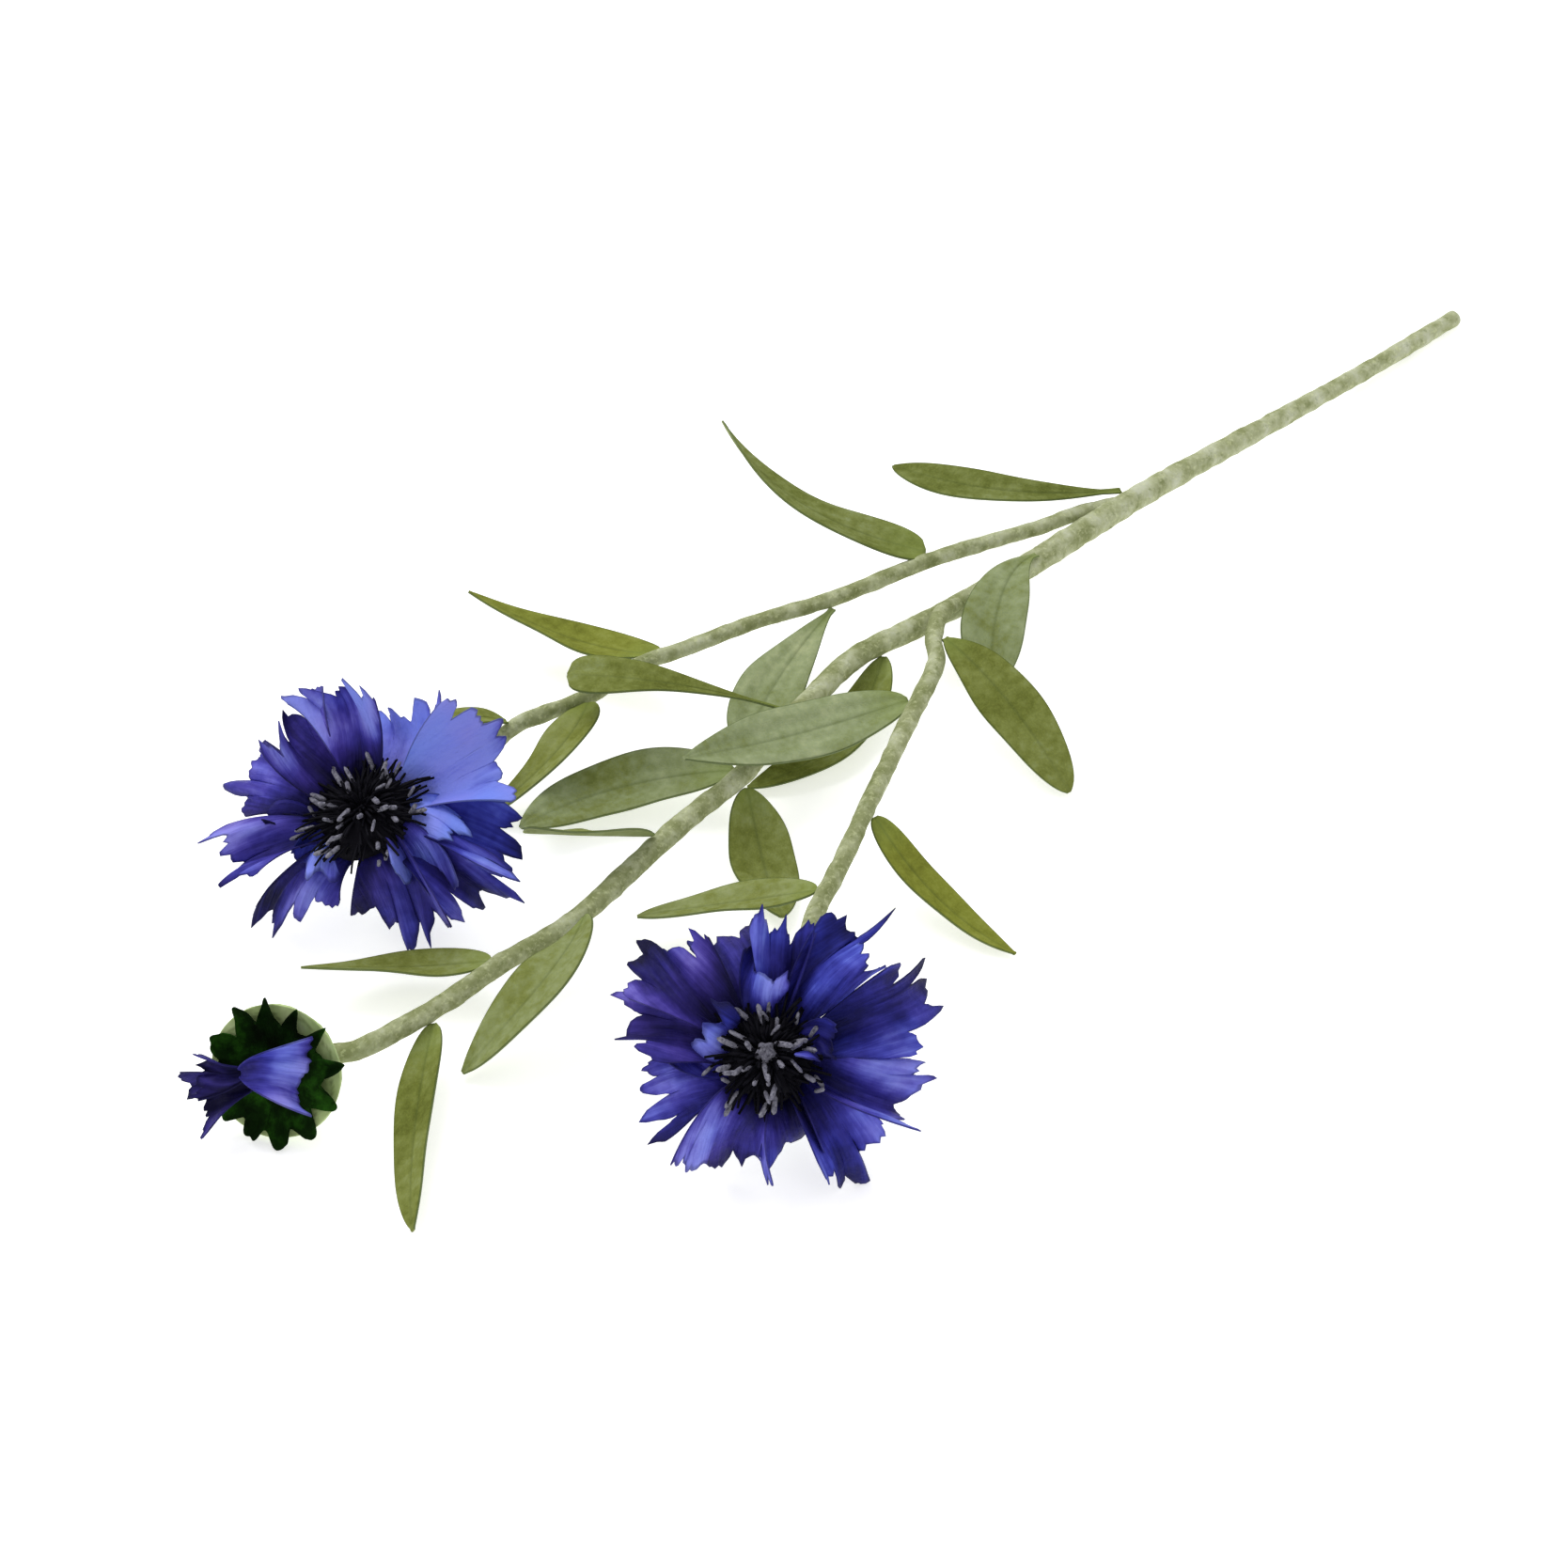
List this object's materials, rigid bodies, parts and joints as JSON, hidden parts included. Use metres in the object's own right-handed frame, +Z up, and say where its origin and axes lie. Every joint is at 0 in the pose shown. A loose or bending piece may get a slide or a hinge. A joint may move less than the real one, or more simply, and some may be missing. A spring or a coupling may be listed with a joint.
{
  "type": "cornflower spray",
  "caption": "Cut cornflower stem forking into branches with open blue heads, a half open bud and narrow green leaves, lying on its side.",
  "frame": {"origin": "middle of the footprint, on the surface that the spray lies on", "axes": "+X along the main stem towards its cut end, +Z up; the blooms are at -X"},
  "size_m": [0.3927, 0.1932, 0.0486],
  "materials": {
    "tape": "matt pale green wrap with fine light flecks",
    "leaf_cloth": "matt olive green cloth, pressed midrib, paler underside",
    "calyx_cloth": "matt light green",
    "ruff_cloth": "very dark green crinkled cloth",
    "petal_cloth": "satin blue violet cloth, fine ribs, edges near black",
    "stamens": "near black blue with grey tips"
  },
  "bodies": {
    "root": {"main_stem": "tape", "left_branch": "tape", "right_branch": "tape", "leaf_left_1": "leaf_cloth", "leaf_left_2": "leaf_cloth", "leaf_left_3": "leaf_cloth", "leaf_left_4": "leaf_cloth", "leaf_left_5": "leaf_cloth", "leaf_left_6": "leaf_cloth", "leaf_middle_1": "leaf_cloth", "leaf_middle_2": "leaf_cloth", "leaf_middle_3": "leaf_cloth", "leaf_middle_4": "leaf_cloth", "leaf_middle_5": "leaf_cloth", "leaf_middle_6": "leaf_cloth", "leaf_middle_7": "leaf_cloth", "leaf_middle_8": "leaf_cloth", "leaf_middle_9": "leaf_cloth", "leaf_right_1": "leaf_cloth", "leaf_right_2": "leaf_cloth", "leaf_right_3": "leaf_cloth", "leaf_right_4": "leaf_cloth", "head_1_calyx": "calyx_cloth", "head_2_calyx": "calyx_cloth", "bud_calyx": "calyx_cloth", "bud_ruff": "ruff_cloth", "head_1_floret_1": "petal_cloth", "head_1_floret_2": "petal_cloth", "head_1_floret_3": "petal_cloth", "head_1_floret_4": "petal_cloth", "head_1_floret_5": "petal_cloth", "head_1_floret_6": "petal_cloth", "head_1_floret_7": "petal_cloth", "head_1_floret_8": "petal_cloth", "head_1_floret_9": "petal_cloth", "head_1_floret_10": "petal_cloth", "head_1_floret_11": "petal_cloth", "head_1_floret_12": "petal_cloth", "head_1_floret_13": "petal_cloth", "head_1_floret_14": "petal_cloth", "head_2_floret_1": "petal_cloth", "head_2_floret_2": "petal_cloth", "head_2_floret_3": "petal_cloth", "head_2_floret_4": "petal_cloth", "head_2_floret_5": "petal_cloth", "head_2_floret_6": "petal_cloth", "head_2_floret_7": "petal_cloth", "head_2_floret_8": "petal_cloth", "head_2_floret_9": "petal_cloth", "head_2_floret_10": "petal_cloth", "head_2_floret_11": "petal_cloth", "head_2_floret_12": "petal_cloth", "head_2_floret_13": "petal_cloth", "head_2_floret_14": "petal_cloth", "bud_core": "petal_cloth", "bud_floret_1": "petal_cloth", "bud_floret_2": "petal_cloth", "bud_floret_3": "petal_cloth", "head_1_stamens": "stamens", "head_2_stamens": "stamens"}
  },
  "joints": []
}
